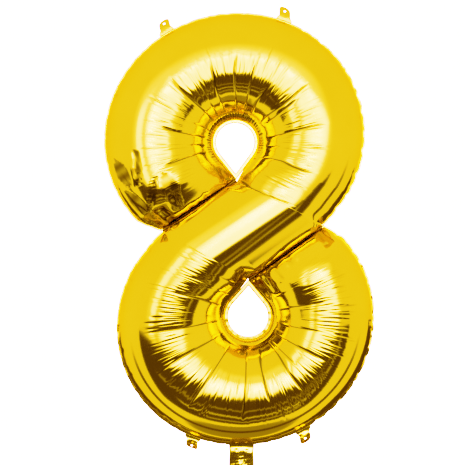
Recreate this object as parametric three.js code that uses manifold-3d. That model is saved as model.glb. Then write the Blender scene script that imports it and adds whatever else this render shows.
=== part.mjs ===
// A foil number balloon, an eight, as it is when inflated. Millimetres, +Z up, the front faces -Y.
// Two foil sheets are heat-sealed along the outline, round both holes and along two slits, so that the
// air space is one tube that runs as an S: round the upper loop, down the diagonal and round the lower
// loop. The seam lies in the plane Y = 0. Four tabs and the filling tail fold where they meet the seam.
// Everything is first placed from the middle of the diagonal; the last lines centre it on its own box.
import * as THREE from "three";
import { mergeVertices } from "three/addons/utils/BufferGeometryUtils.js";
import Module from "manifold-3d";

const wasm = await Module();
wasm.setup();
const DEG = Math.PI / 180;

// The weld line of each loop. Angles are in degrees from +X towards +Z, in the loop's own frame, which
// is turned by half a turn on the lower loop. The outline is an oval whose long axis is tilted up from
// +X, and the hole is a teardrop that points to the diagonal.
const UPPER = {
  turn: 0,
  centre: [-16.5, 182.5],
  longRadius: 256,
  shortRadius: 241,
  tilt: 14,
  holeCentre: [1, -11],
  holeRadius: 45.5,
  holeTipDistance: 75,
  holeTipAngle: -89,
};
const LOWER = {
  turn: 180,
  centre: [5, -183.5],
  longRadius: 254,
  shortRadius: 238,
  tilt: 24,
  holeCentre: [-5, -10],
  holeRadius: 47.5,
  holeTipDistance: 73,
  holeTipAngle: -91,
};
const LEFT_NOTCH = [-160, -3]; // where the outline pinches in, beside the end of each slit
const RIGHT_NOTCH = [158, 5];
const LOBE_CORNER_ANGLE = 221; // the outline leaves its curve here, for the notch beside the tube's end
const SHOULDER_ANGLE = -27; // and here, for the notch beside the diagonal
const LOBE_END_LENGTH = 78; // over which the tube closes towards its slit

// The seam and the sheets. The true foil is far thinner than these walls.
const WALL = 0.6;
const SEAM_THICKNESS = 0.6;
const FACE_GAP = 0.3; // between welded faces
const OUTER_FLANGE = 6;
const HOLE_FLANGE = 8;
const SLIT_WIDTH = 6;

// The four hanging tabs: the angle of the root on its loop's outline, and how far the tab leans over.
const TABS = [
  { name: "top_left_tab", loop: UPPER, angle: 123, lean: 15 },
  { name: "top_right_tab", loop: UPPER, angle: 67, lean: -17 },
  { name: "bottom_right_tab", loop: LOWER, angle: 118, lean: 14 },
  { name: "bottom_left_tab", loop: LOWER, angle: 65.5, lean: -14 },
];
const TAB_WIDTH = 23;
const TAB_ROOT_WIDTH = 32;
const TAB_LENGTH = 28;
const TAB_HOLE_RADIUS = 2.5;
const TAB_HOLE_FROM_TIP = 12;
const TAB_FOLD_GAP = 1.2; // free foil between the seam and the tab, in which the fold lies

// The filling tail and the two films of the self-closing valve inside it.
const TAIL_X = -3;
const TAIL_WIDTH = 49;
const TAIL_LENGTH = 88;
const TAIL_FOIL = 0.4;
const TAIL_FOLD_GAP = 3;
const VALVE_FILM = 0.2;
const VALVE_WIDTH = 32;
const VALVE_RISE = 95; // above the fold, inside the balloon
const VALVE_INLET = 62; // below the fold, inside the tail
const VALVE_SIDE_CLEARANCE = 1;

// Mesh fineness.
const RIBS_PER_LOOP = 28;
const RIBS_ON_DIAGONAL = 7;
const STEPS_ACROSS = 10;

// ---------- small tools ----------

const mix = (a, b, t) => a + (b - a) * t;
const mixPoint = (p, q, t) => [mix(p[0], q[0], t), mix(p[1], q[1], t)];
const smooth = (t) => {
  const u = Math.min(Math.max(t, 0), 1);
  return u * u * (3 - 2 * u);
};

function turned([x, z], degrees) {
  const c = Math.cos(degrees * DEG);
  const s = Math.sin(degrees * DEG);
  return [x * c - z * s, x * s + z * c];
}

const polar = (angle, r) => [r * Math.cos(angle * DEG), r * Math.sin(angle * DEG)];
const angleOf = ([x, z]) => Math.atan2(z, x) / DEG;

function fromLoop(loop, point) {
  const [x, z] = turned(point, loop.turn);
  return [x + loop.centre[0], z + loop.centre[1]];
}

function toLoop(loop, [x, z]) {
  return turned([x - loop.centre[0], z - loop.centre[1]], -loop.turn);
}

// How far a ray from the origin travels before it meets the line through p and q.
function rayToLine(angle, p, q) {
  const [dx, dz] = polar(angle, 1);
  const along = [q[0] - p[0], q[1] - p[1]];
  const distance = (p[0] * along[1] - p[1] * along[0]) / (dx * along[1] - dz * along[0]);
  return distance > 0 ? distance : Infinity;
}

// Signed distance of a point from the line through p and q, positive on the left of p to q.
function besideLine([x, z], p, q) {
  const along = [q[0] - p[0], q[1] - p[1]];
  return (along[0] * (z - p[1]) - along[1] * (x - p[0])) / Math.hypot(...along);
}

// ---------- the weld lines ----------

const notchOf = (loop) => toLoop(loop, loop === UPPER ? LEFT_NOTCH : RIGHT_NOTCH);
const otherNotchOf = (loop) => toLoop(loop, loop === UPPER ? RIGHT_NOTCH : LEFT_NOTCH);

function ovalRadius(loop, angle) {
  const [c, s] = polar(angle - loop.tilt, 1);
  return 1 / Math.hypot(c / loop.longRadius, s / loop.shortRadius);
}

// The outer weld line, from the loop's centre: an oval cut by a straight line beside each notch.
function outlineRadius(loop, angle) {
  const corner = polar(LOBE_CORNER_ANGLE, ovalRadius(loop, LOBE_CORNER_ANGLE));
  const shoulder = polar(SHOULDER_ANGLE, ovalRadius(loop, SHOULDER_ANGLE));
  return Math.min(
    ovalRadius(loop, angle),
    rayToLine(angle, corner, notchOf(loop)),
    rayToLine(angle, shoulder, otherNotchOf(loop)),
  );
}

// The weld line round the hole, from the hole's own centre, moved by `inset` towards the hole.
function holePoint(loop, angle, inset = 0) {
  const radius = loop.holeRadius - inset;
  const toTip = Math.acos(loop.holeRadius / loop.holeTipDistance) / DEG;
  const fromTop = Math.abs(angle - loop.holeTipAngle - 180);
  const past = Math.max(0, fromTop - (180 - toTip));
  const [x, z] = polar(angle, radius / Math.cos(past * DEG));
  return [x + loop.holeCentre[0], z + loop.holeCentre[1]];
}

const tipOf = (loop) => holePoint(loop, loop.holeTipAngle);

// A slit's two edges: the weld between them joins the tip of a hole to a notch.
function slitEdge(loop, side) {
  const tip = tipOf(loop);
  const notch = notchOf(loop);
  const across = [notch[1] - tip[1], tip[0] - notch[0]].map(
    (v) => (v * side * SLIT_WIDTH) / 2 / Math.hypot(notch[0] - tip[0], notch[1] - tip[1]),
  );
  return [tip, notch].map(([x, z]) => [x + across[0], z + across[1]]);
}

const LOBE_SIDE = 1;
const DIAGONAL_SIDE = -1;

// Ribs are lines across the tube, from the hole's side to the outline's. They are radial round the
// loop and fan out to the tip of the hole at both its ends.
function loopRib(loop, t) {
  const radialFrom = 200;
  const radialTo = -10;
  const fan = 0.15;
  const tip = loop.holeTipAngle;
  const first = (angleOf(notchOf(loop)) + 360) % 360;
  const last = angleOf(otherNotchOf(loop));
  let holeAngle = mix(radialFrom, radialTo, (t - fan) / (1 - 2 * fan));
  let outlineAngle = holeAngle;
  if (t < fan) {
    holeAngle = mix(tip + 360, radialFrom, t / fan);
    outlineAngle = mix(first, radialFrom, t / fan);
  } else if (t > 1 - fan) {
    holeAngle = mix(radialTo, tip, (t - 1 + fan) / fan);
    outlineAngle = mix(radialTo, last, (t - 1 + fan) / fan);
  }
  const inner = t === 1 ? slitEdge(loop, DIAGONAL_SIDE)[0] : holePoint(loop, holeAngle);
  const outer = polar(outlineAngle, outlineRadius(loop, outlineAngle));
  return t === 0 ? slitEdge(loop, LOBE_SIDE) : [inner, outer];
}

// All ribs of the S, as [right-hand end, left-hand end], from the upper loop's free end to the lower's.
function tubeRibs() {
  const steps = [...Array(RIBS_PER_LOOP + 1).keys()].map((i) => i / RIBS_PER_LOOP);
  const straight = (t) => 1 - smooth((1 - t) / 0.3);
  const ribsOf = (loop) =>
    steps.map((t) => ({
      ends: loopRib(loop, t).map((p) => fromLoop(loop, p)),
      loop,
      straight: straight(t),
    }));
  const upper = ribsOf(UPPER);
  const lower = ribsOf(LOWER).map((rib) => ({ ...rib, ends: [rib.ends[1], rib.ends[0]] }));
  const [tipA, notchA] = slitEdge(UPPER, DIAGONAL_SIDE).map((p) => fromLoop(UPPER, p));
  const [tipB, notchB] = slitEdge(LOWER, DIAGONAL_SIDE).map((p) => fromLoop(LOWER, p));
  const diagonal = [...Array(RIBS_ON_DIAGONAL).keys()].map((i) => {
    const t = (i + 1) / (RIBS_ON_DIAGONAL + 1);
    const ends = [mixPoint(tipA, notchA, t), mixPoint(notchB, tipB, t)];
    return { ends, loop: t < 0.5 ? UPPER : LOWER, straight: 1 };
  });
  return [...upper, ...diagonal, ...lower.reverse()];
}

// ---------- the inflated section ----------

// Foil can't stretch but puckers freely along the tube, so its pull runs only across the tube. Its slope
// then follows sin(slope) = start - c (x + bend x^2 / 2), and it stands upright at the outer edge.
// Returns [share of the width, depth] from the inner edge to the outer one.
function tubeSection(width, bend) {
  const fine = 12;
  const trace = (start) => {
    const c = (start + 1) / (width + (bend * width * width) / 2);
    const stretchAt = (angle) => Math.sqrt(1 + (2 * bend * (start - Math.sin(angle))) / c);
    const first = Math.asin(start);
    const step = (first + Math.PI / 2) / (STEPS_ACROSS * fine);
    const points = [];
    let depth = 0;
    for (let i = 0; i <= STEPS_ACROSS * fine; i++) {
      const angle = first - i * step;
      const x = bend ? (stretchAt(angle) - 1) / bend : (start - Math.sin(angle)) / c;
      if (i % fine === 0) points.push([x / width, depth]);
      const middle = angle - step / 2;
      depth += (Math.sin(middle) * step) / (c * stretchAt(middle));
    }
    return points;
  };
  let low = 0;
  let high = 1;
  for (let i = 0; i < 40; i++) {
    const start = (low + high) / 2;
    if (trace(start)[STEPS_ACROSS][1] > 0) high = start;
    else low = start;
  }
  const points = trace(low);
  points[0] = [0, 0];
  points[STEPS_ACROSS] = [1, 0];
  return points;
}

// How much of its full depth the tube has at a point near its free end: it closes in a quarter round.
function endClosing(loop, point) {
  const [tip, notch] = slitEdge(loop, LOBE_SIDE);
  const distance = besideLine(toLoop(loop, point), notch, tip);
  const share = Math.min(Math.max(distance / LOBE_END_LENGTH, 0), 1);
  return Math.sqrt(1 - (1 - share) ** 2);
}

// The inner face of one sheet, as rows of points [x, depth, z], one row to a rib.
function sheetPoints(ribs) {
  const tip = fromLoop(UPPER, slitEdge(UPPER, DIAGONAL_SIDE)[0]);
  const [tipB, notchB] = slitEdge(LOWER, DIAGONAL_SIDE).map((p) => fromLoop(LOWER, p));
  const diagonalWidth = Math.abs(besideLine(tip, tipB, notchB));
  return ribs.map(({ ends, loop, straight }, i) => {
    const outerRadius = (loop.longRadius + loop.shortRadius) / 2;
    const bend = 2 / (outerRadius + loop.holeRadius);
    const loopWidth = outerRadius - loop.holeRadius;
    const width = mix(loopWidth, diagonalWidth, straight);
    let section = tubeSection(width, mix(bend, 0, straight));
    if (loop === LOWER) section = section.map(([x, depth]) => [1 - x, depth]).reverse();
    const nearEnd = i < RIBS_PER_LOOP / 2 || i > ribs.length - RIBS_PER_LOOP / 2;
    return section.map(([x, depth]) => {
      const point = mixPoint(ends[0], ends[1], x);
      const closing = nearEnd ? endClosing(loop, point) : 1;
      return [point[0], depth * closing, point[1]];
    });
  });
}

// ---------- solids ----------

// A sheet of even wall from rows of points on its inner face. Along its rim the wall grows outwards in
// the plane of the seam, so that the rim lies flat on the seam. `side` is -1 for the front, 1 for the back.
function sheetGeometry(rows, side) {
  const count = rows[0].length;
  const base = SEAM_THICKNESS / 2 + FACE_GAP;
  const inner = rows.map((row) =>
    row.map(([x, depth, z]) => new THREE.Vector3(x, side * (base + depth), z)),
  );
  const at = (i, j) =>
    inner[Math.min(Math.max(i, 0), rows.length - 1)][Math.min(Math.max(j, 0), count - 1)];
  const outward = (i, j) => {
    const along = at(i + 1, j).clone().sub(at(i - 1, j));
    const across = at(i, j + 1).clone().sub(at(i, j - 1));
    const normal = along.clone().cross(across);
    if (normal.y * side < 0) normal.negate();
    if (j === 0) normal.copy(at(i, 0)).sub(at(i, 1));
    if (j === count - 1) normal.copy(at(i, j)).sub(at(i, j - 1));
    if (i === 0 && j > 0 && j < count - 1) normal.copy(at(0, j)).sub(at(1, j));
    if (i === rows.length - 1 && j > 0 && j < count - 1) normal.copy(at(i, j)).sub(at(i - 1, j));
    if (j === 0 || j === count - 1 || i === 0 || i === rows.length - 1) normal.y = 0;
    return normal.normalize();
  };
  const outer = inner.map((row, i) =>
    row.map((p, j) => p.clone().addScaledVector(outward(i, j), WALL)),
  );
  const positions = [...outer.flat(), ...inner.flat()].flatMap((p) => [p.x, p.y, p.z]);
  const outerAt = (i, j) => i * count + j;
  const innerAt = (i, j) => rows.length * count + i * count + j;
  const faces = [];
  const quad = (a, b, c, d) => faces.push(...(side < 0 ? [a, c, b, a, d, c] : [a, b, c, a, c, d]));
  for (let i = 0; i + 1 < rows.length; i++) {
    for (let j = 0; j + 1 < count; j++) {
      quad(outerAt(i, j), outerAt(i, j + 1), outerAt(i + 1, j + 1), outerAt(i + 1, j));
      quad(innerAt(i, j), innerAt(i + 1, j), innerAt(i + 1, j + 1), innerAt(i, j + 1));
    }
    quad(outerAt(i, 0), outerAt(i + 1, 0), innerAt(i + 1, 0), innerAt(i, 0));
    const j = count - 1;
    quad(outerAt(i + 1, j), outerAt(i, j), innerAt(i, j), innerAt(i + 1, j));
  }
  const last = rows.length - 1;
  for (let j = 0; j + 1 < count; j++) {
    quad(outerAt(0, j + 1), outerAt(0, j), innerAt(0, j), innerAt(0, j + 1));
    quad(outerAt(last, j), outerAt(last, j + 1), innerAt(last, j + 1), innerAt(last, j));
  }
  const geometry = new THREE.BufferGeometry();
  geometry.setAttribute("position", new THREE.Float32BufferAttribute(positions, 3));
  geometry.setIndex(faces);
  geometry.computeVertexNormals();
  return geometry;
}

// A flat plate in the plane of the seam, from a shape drawn in X and Z, from `back` to `front` in Y.
function plateGeometry(shape, front, back) {
  const depth = back - front;
  const geometry = new THREE.ExtrudeGeometry(shape, { depth, bevelEnabled: false, curveSegments: 6 });
  geometry.rotateX(Math.PI / 2);
  geometry.translate(0, back, 0);
  return geometry;
}

const shapeOf = (points) => new THREE.Shape(points.map(([x, z]) => new THREE.Vector2(x, z)));

function rectangle(left, right, bottom, top) {
  return shapeOf([
    [left, bottom],
    [right, bottom],
    [right, top],
    [left, top],
  ]);
}

function solidOf(geometry) {
  const bare = geometry.clone();
  bare.deleteAttribute("normal");
  bare.deleteAttribute("uv");
  const merged = mergeVertices(bare, 1e-3);
  const triVerts = new Uint32Array(merged.index.array);
  const vertProperties = new Float32Array(merged.attributes.position.array);
  return new wasm.Manifold(new wasm.Mesh({ numProp: 3, vertProperties, triVerts }));
}

function geometryOf(solid) {
  const { vertProperties, triVerts } = solid.getMesh();
  const geometry = new THREE.BufferGeometry();
  geometry.setAttribute("position", new THREE.Float32BufferAttribute(vertProperties, 3));
  geometry.setIndex([...triVerts]);
  geometry.computeVertexNormals();
  return geometry;
}

// One loop's outline out to the edge of the flange, closed through the other loop's centre.
function flangeShape(loop, other) {
  const from = (angleOf(notchOf(loop)) + 360) % 360;
  const to = angleOf(otherNotchOf(loop));
  const steps = 2 * RIBS_PER_LOOP;
  const points = [...Array(steps + 1).keys()].map((i) => {
    const angle = mix(from, to, i / steps);
    return fromLoop(loop, polar(angle, outlineRadius(loop, angle) + OUTER_FLANGE));
  });
  return shapeOf([...points, other.centre]);
}

function holeShape(loop) {
  const steps = RIBS_PER_LOOP;
  const points = [...Array(steps).keys()].map((i) =>
    fromLoop(loop, holePoint(loop, loop.holeTipAngle + (360 * i) / steps, HOLE_FLANGE)),
  );
  return shapeOf(points);
}

// The welded seam is what is left of a flat eight once the tube, the holes and the valve's neck are cut out.
function seamGeometry(ribs) {
  const half = SEAM_THICKNESS / 2;
  const cutThrough = (shape) => solidOf(plateGeometry(shape, -half - 1, half + 1));
  const plate = (shape) => solidOf(plateGeometry(shape, -half, half));
  const tube = shapeOf([...ribs.map((r) => r.ends[0]), ...ribs.map((r) => r.ends[1]).reverse()]);
  const neckHalf = VALVE_WIDTH / 2 + VALVE_SIDE_CLEARANCE;
  const neckTop = tailRoot() + OUTER_FLANGE + LOWER.shortRadius / 4;
  const neck = rectangle(TAIL_X - neckHalf, TAIL_X + neckHalf, tailRoot() - TAIL_FOLD_GAP, neckTop);
  return geometryOf(
    plate(flangeShape(UPPER, LOWER))
      .add(plate(flangeShape(LOWER, UPPER)))
      .subtract(cutThrough(tube))
      .subtract(cutThrough(holeShape(UPPER)))
      .subtract(cutThrough(holeShape(LOWER)))
      .subtract(cutThrough(neck)),
  );
}

// ---------- tabs, tail and valve ----------

// A tab points along +Z from its fold at the origin: a flared root, then even width and a round tip.
function tabShape(lean) {
  const slant = Math.tan(lean * DEG);
  const root = TAB_FOLD_GAP / 2;
  const half = TAB_WIDTH / 2;
  const flareTop = root + (TAB_ROOT_WIDTH - TAB_WIDTH) / 2;
  const roundFrom = TAB_LENGTH - half;
  const tipSteps = 10;
  const tip = [...Array(tipSteps + 1).keys()].map((i) => {
    const [x, z] = polar((180 * i) / tipSteps, half);
    return [x, roundFrom + z];
  });
  const points = [[-TAB_ROOT_WIDTH / 2, root], [TAB_ROOT_WIDTH / 2, root], [half, flareTop], ...tip];
  points.push([-half, flareTop]);
  const shape = shapeOf(points.map(([x, z]) => [x + slant * (z - root), z]));
  const hole = new THREE.Path();
  const holeAt = TAB_LENGTH - TAB_HOLE_FROM_TIP;
  hole.absarc(slant * (holeAt - root), holeAt, TAB_HOLE_RADIUS, 0, 2 * Math.PI, true);
  shape.holes.push(hole);
  return shape;
}

// Where a tab's fold line lies: just outside the flange over the whole width of the tab's root.
function tabPlace(loop, angle) {
  const steps = 8;
  const halfSpan = TAB_ROOT_WIDTH / 2 / outlineRadius(loop, angle) / DEG;
  const edge = [...Array(steps + 1).keys()].map((i) => {
    const at = angle + halfSpan * (1 - (2 * i) / steps);
    return fromLoop(loop, polar(at, outlineRadius(loop, at) + OUTER_FLANGE));
  });
  const [first, last] = [edge[0], edge[steps]];
  const outwards = angleOf([last[0] - first[0], last[1] - first[1]]) + 90;
  const proud = Math.max(...edge.map((point) => besideLine(point, first, last)));
  const [x, z] = mixPoint(first, last, 0.5);
  const [dx, dz] = polar(outwards, proud + TAB_FOLD_GAP / 2);
  return { x: x + dx, z: z + dz, outwards };
}

function tabMesh({ name, loop, angle, lean }) {
  const half = SEAM_THICKNESS / 2;
  const mesh = new THREE.Mesh(plateGeometry(tabShape(lean), -half, half), foilMaterial());
  const { x, z, outwards } = tabPlace(loop, angle);
  mesh.name = name;
  mesh.position.set(x, 0, z);
  mesh.rotation.y = (90 - outwards) * DEG;
  return mesh;
}

// The height of the flange's edge where the tail leaves it: its lowest point over the tail's width.
function tailRoot() {
  const steps = 8;
  const heights = [...Array(steps + 1).keys()].map((i) => {
    const x = TAIL_X + TAIL_WIDTH * (i / steps - 0.5);
    const angle = 90 + Math.atan2(x - LOWER.centre[0], LOWER.shortRadius) / DEG;
    return fromLoop(LOWER, polar(angle, outlineRadius(LOWER, angle) + OUTER_FLANGE))[1];
  });
  return Math.min(...heights);
}

// Sheets lie on each other from the middle of the seam outwards: valve film, then tail foil.
function layer(inner, thickness, side) {
  return side < 0 ? [-inner - thickness, -inner] : [inner, inner + thickness];
}

function tailGroup() {
  const tail = new THREE.Group();
  tail.position.set(TAIL_X, 0, tailRoot() - TAIL_FOLD_GAP / 2);
  const foilTop = -TAIL_FOLD_GAP / 2;
  const filmInner = FACE_GAP / 2;
  const foilInner = filmInner + VALVE_FILM + FACE_GAP;
  const foil = rectangle(-TAIL_WIDTH / 2, TAIL_WIDTH / 2, foilTop - TAIL_LENGTH, foilTop);
  const half = VALVE_WIDTH / 2;
  const inlet = rectangle(-half, half, foilTop - VALVE_INLET, foilTop);
  const rise = rectangle(-half, half, TAIL_FOLD_GAP / 2, VALVE_RISE);
  for (const [word, side] of [
    ["front", -1],
    ["back", 1],
  ]) {
    const add = (name, shape, inner, thickness, material) => {
      const mesh = new THREE.Mesh(plateGeometry(shape, ...layer(inner, thickness, side)), material);
      mesh.name = name;
      tail.add(mesh);
    };
    add(`tail_${word}_foil`, foil, foilInner, TAIL_FOIL, foilMaterial());
    add(`valve_inlet_${word}_film`, inlet, filmInner, VALVE_FILM, filmMaterial());
    add(`valve_${word}_film`, rise, filmInner, VALVE_FILM, filmMaterial());
  }
  return tail;
}

// ---------- materials ----------

function foilMaterial() {
  return new THREE.MeshStandardMaterial({ color: 0xe6b422, roughness: 0.18, metalness: 1 });
}

function filmMaterial() {
  return new THREE.MeshStandardMaterial({ color: 0xe9e6df, roughness: 0.35, metalness: 0 });
}

// ---------- the balloon ----------

function foilMesh(name, geometry) {
  const mesh = new THREE.Mesh(geometry, foilMaterial());
  mesh.name = name;
  return mesh;
}

const balloon = new THREE.Group();
const ribs = tubeRibs();
const rows = sheetPoints(ribs);
balloon.add(foilMesh("front_foil_panel", sheetGeometry(rows, -1)));
balloon.add(foilMesh("back_foil_panel", sheetGeometry(rows, 1)));
balloon.add(foilMesh("welded_seam", seamGeometry(ribs)));
balloon.add(tailGroup());
for (const tab of TABS) balloon.add(tabMesh(tab));

const middle = new THREE.Box3().setFromObject(balloon, true).getCenter(new THREE.Vector3());
balloon.position.copy(middle.negate());

const part = new THREE.Group();
part.add(balloon);
export default part;
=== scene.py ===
"""The looks of an inflated foil number balloon, an eight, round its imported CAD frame.

The foil is built from the same weld lines and the same inflated section as the CAD panels, but finely
enough to carry what makes foil look like foil: it can't stretch, so wherever the inflated shape is
shorter than the flat sheet was, the spare length gathers in creases that run in from the seams, wide
ones far in and ever finer ones close to the seam. +Z is up and the front faces -Y. The balloon's own
sizes are in millimetres and degrees, and its places are measured from the middle of the diagonal; the
camera, the lights and what stands round the balloon are in metres.
"""

import bpy
import numpy as np
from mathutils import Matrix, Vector


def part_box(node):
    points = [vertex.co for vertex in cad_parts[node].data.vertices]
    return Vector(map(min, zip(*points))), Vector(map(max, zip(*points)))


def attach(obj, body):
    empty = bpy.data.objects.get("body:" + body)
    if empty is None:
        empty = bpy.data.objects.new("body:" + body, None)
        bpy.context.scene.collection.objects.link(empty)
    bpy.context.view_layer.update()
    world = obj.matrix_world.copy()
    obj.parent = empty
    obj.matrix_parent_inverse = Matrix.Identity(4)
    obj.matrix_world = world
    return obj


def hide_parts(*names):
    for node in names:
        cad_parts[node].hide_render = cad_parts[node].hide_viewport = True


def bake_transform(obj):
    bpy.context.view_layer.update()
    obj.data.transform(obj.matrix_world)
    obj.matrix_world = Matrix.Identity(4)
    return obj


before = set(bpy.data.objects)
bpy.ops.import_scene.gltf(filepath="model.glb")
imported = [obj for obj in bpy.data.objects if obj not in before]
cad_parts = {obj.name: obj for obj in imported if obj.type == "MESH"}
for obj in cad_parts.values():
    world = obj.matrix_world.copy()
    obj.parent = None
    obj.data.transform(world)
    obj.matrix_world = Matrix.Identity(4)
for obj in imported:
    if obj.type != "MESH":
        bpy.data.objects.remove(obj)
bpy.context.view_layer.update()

MM = 0.001
DEG = np.pi / 180

# ---------- the balloon's driving sizes, as the CAD has them ----------

UPPER = dict(
    turn=0,
    centre=(-16.5, 182.5),
    long_radius=256,
    short_radius=241,
    tilt=14,
    hole_centre=(1, -11),
    hole_radius=45.5,
    tip_distance=75,
    tip_angle=-89,
)
LOWER = dict(
    turn=180,
    centre=(5, -183.5),
    long_radius=254,
    short_radius=238,
    tilt=24,
    hole_centre=(-5, -10),
    hole_radius=47.5,
    tip_distance=73,
    tip_angle=-91,
)
LEFT_NOTCH = (-160, -3)
RIGHT_NOTCH = (158, 5)
LOBE_CORNER_ANGLE = 221
SHOULDER_ANGLE = -27
LOBE_END_LENGTH = 78
OUTER_FLANGE = 6
HOLE_FLANGE = 8
SLIT_WIDTH = 6
SEAM_HALF = 0.3  # half the thickness of the two welded foils

TAB_WIDTH = 23
TAB_ROOT_WIDTH = 32
TAB_LENGTH = 28
TAB_HOLE_RADIUS = 2.5
TAB_HOLE_FROM_TIP = 12
TAB_FOLD_GAP = 1.2
TAIL_X = -3
TAIL_WIDTH = 49
TAIL_LENGTH = 88
TAIL_FOLD_GAP = 3

# ---------- fineness of the foil ----------

LOOP_RIBS = 720
DIAGONAL_RIBS = 190
ACROSS = 60
LOOP_END = LOOP_RIBS  # the rib where the upper loop ends and the diagonal starts
DIAGONAL_END = LOOP_RIBS + DIAGONAL_RIBS

# ---------- small tools ----------


def smooth(t):
    """0 up to t = 0 and 1 from t = 1, easing between."""
    u = np.clip(t, 0, 1)
    return u * u * (3 - 2 * u)


def mix(a, b, t):
    return a + (b - a) * t


def polar(angle, r):
    return np.stack([r * np.cos(angle * DEG), r * np.sin(angle * DEG)], -1)


def angle_of(p):
    return np.arctan2(p[..., 1], p[..., 0]) / DEG


def from_loop(loop, p):
    """From a loop's own axes, which are turned half round on the lower one, to the balloon's."""
    sign = -1 if loop["turn"] == 180 else 1
    return sign * p + np.array(loop["centre"])


def to_loop(loop, p):
    sign = -1 if loop["turn"] == 180 else 1
    return sign * (np.asarray(p, float) - np.array(loop["centre"]))


def ray_to_line(angle, p, q):
    """How far a ray from the loop's centre runs to the line through p and q."""
    d = polar(angle, 1.0)
    along = q - p
    distance = (p[0] * along[1] - p[1] * along[0]) / (d[..., 0] * along[1] - d[..., 1] * along[0])
    return np.where(distance > 0, distance, np.inf)


def beside_line(point, p, q):
    """How far a point lies to the left of the line from p to q."""
    along = (q - p) / np.linalg.norm(q - p)
    return along[0] * (point[..., 1] - p[1]) - along[1] * (point[..., 0] - p[0])


# ---------- the weld lines ----------

LOBE_SIDE, DIAGONAL_SIDE = 1, -1


def notch_of(loop):
    return to_loop(loop, LEFT_NOTCH if loop is UPPER else RIGHT_NOTCH)


def other_notch_of(loop):
    return to_loop(loop, RIGHT_NOTCH if loop is UPPER else LEFT_NOTCH)


def oval_radius(loop, angle):
    d = polar(angle - loop["tilt"], 1.0)
    return 1 / np.hypot(d[..., 0] / loop["long_radius"], d[..., 1] / loop["short_radius"])


def outline_radius(loop, angle):
    """The outer weld line: the oval, cut straight at both of the loop's notches."""
    corner = polar(LOBE_CORNER_ANGLE, oval_radius(loop, LOBE_CORNER_ANGLE))
    shoulder = polar(SHOULDER_ANGLE, oval_radius(loop, SHOULDER_ANGLE))
    cut = np.minimum(
        ray_to_line(angle, corner, notch_of(loop)),
        ray_to_line(angle, shoulder, other_notch_of(loop)),
    )
    return np.minimum(oval_radius(loop, angle), cut)


def hole_point(loop, angle, inset=0.0):
    """The hole's weld line: a circle drawn out to a tip."""
    radius = loop["hole_radius"] - inset
    to_tip = np.arccos(loop["hole_radius"] / loop["tip_distance"]) / DEG
    from_top = np.abs(angle - loop["tip_angle"] - 180)
    past = np.maximum(0, from_top - (180 - to_tip))
    return polar(angle, radius / np.cos(past * DEG)) + np.array(loop["hole_centre"])


def slit_edge(loop, side):
    """Both ends of one edge of a slit's weld: at the hole's tip and at the notch."""
    tip = hole_point(loop, loop["tip_angle"])
    notch = notch_of(loop)
    run = notch - tip
    across = np.array([run[1], -run[0]]) * side * SLIT_WIDTH / 2 / np.linalg.norm(run)
    return tip + across, notch + across


RADIAL_FROM = 200.0  # between these angles the ribs run straight out from the hole
RADIAL_TO = -10.0
FAN = 0.15  # the share of the ribs that fan out at each end
LEAD = 1 / 28  # the share over which the first rib eases on to the slit's edge


def loop_ribs(loop, t):
    """The ends of the ribs at t, 0 at the loop's free end and 1 where the diagonal starts."""
    tip = loop["tip_angle"]
    first = angle_of(notch_of(loop)) % 360
    last = angle_of(other_notch_of(loop))
    middle = mix(RADIAL_FROM, RADIAL_TO, (t - FAN) / (1 - 2 * FAN))
    start, end = t / FAN, (t - 1 + FAN) / FAN

    def fanned(at_first, at_last):
        closing = np.where(t > 1 - FAN, mix(RADIAL_TO, at_last, end), middle)
        return np.where(t < FAN, mix(at_first, RADIAL_FROM, start), closing)

    hole_angle = fanned(tip + 360, tip)
    outline_angle = fanned(first, last)
    inner = hole_point(loop, hole_angle)
    outer = polar(outline_angle, outline_radius(loop, outline_angle))
    lead = smooth(1 - t / LEAD)[:, None]
    lobe_tip, lobe_notch = slit_edge(loop, LOBE_SIDE)
    inner, outer = mix(inner, lobe_tip, lead), mix(outer, lobe_notch, lead)
    close = smooth(1 - (1 - t) / LEAD)[:, None]
    return mix(inner, slit_edge(loop, DIAGONAL_SIDE)[0], close), outer


# ---------- the inflated section ----------

TRACE_STEPS = 600
HALVINGS = 40
EDGE_CROWDING = 0.35  # how much closer the places across lie at both seams
STRAIGHTENING = 0.3  # the share of a loop over which its section turns into the diagonal's
SECTION_LEVELS = 13


def traced_section(width, bend, start):
    """The section of a blown-up foil tube whose slope at its first seam has the sine `start`."""
    c = (start + 1) / (width + bend * width * width / 2)
    slope = np.linspace(np.arcsin(start), -np.pi / 2, TRACE_STEPS + 1)

    def stretch(angle):
        return np.sqrt(1 + 2 * bend * (start - np.sin(angle)) / c)

    x = (stretch(slope) - 1) / bend if bend else (start - np.sin(slope)) / c
    middle = (slope[1:] + slope[:-1]) / 2
    rise = np.sin(middle) * (slope[0] - slope[1]) / (c * stretch(middle))
    return x / width, np.concatenate([[0], np.cumsum(rise)])


def tube_section(width, bend):
    """Share of the width, and depth, of the section at ACROSS + 1 places, closer at both seams."""
    low, high = 0.0, 1.0
    for _ in range(HALVINGS):
        start = (low + high) / 2
        if traced_section(width, bend, start)[1][-1] > 0:
            high = start
        else:
            low = start
    x, depth = traced_section(width, bend, low)
    run = np.concatenate([[0], np.cumsum(np.hypot(np.diff(x) * width, np.diff(depth)))])
    q = np.linspace(0, 1, ACROSS + 1)
    at = mix(q, (1 - np.cos(np.pi * q)) / 2, EDGE_CROWDING) * run[-1]
    x, depth = np.interp(at, run, x), np.interp(at, run, depth)
    x[0], x[-1], depth[0], depth[-1] = 0, 1, 0, 0
    return x, depth


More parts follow.
